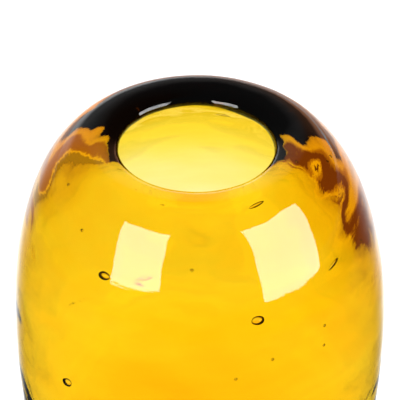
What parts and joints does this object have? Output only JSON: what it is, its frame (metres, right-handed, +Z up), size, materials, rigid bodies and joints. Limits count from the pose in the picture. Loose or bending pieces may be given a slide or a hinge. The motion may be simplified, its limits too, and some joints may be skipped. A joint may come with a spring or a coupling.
{
  "type": "bud vase",
  "caption": "Round free-standing bud vase in thick clear amber glass, with a heavy rolled rim, a small mouth for a few short stems and trapped gas bubbles.",
  "frame": {"origin": "centre of the foot's ring, in the plane that the vase stands on", "axes": "+Z up along the vase's axis, towards the mouth; -Y is the front; the body is round about Z"},
  "size_m": [0.09, 0.09, 0.105],
  "materials": {
    "amber_glass": "fire-polished, glossy, coloured through, slightly wavy with fine striae",
    "trapped_gas": "smooth bubble wall seen from inside the glass"
  },
  "bodies": {
    "root": {"glass_body": "amber_glass", "round_bubbles": "trapped_gas", "drawn_bubbles": "trapped_gas", "fine_seeds": "trapped_gas"}
  },
  "joints": []
}
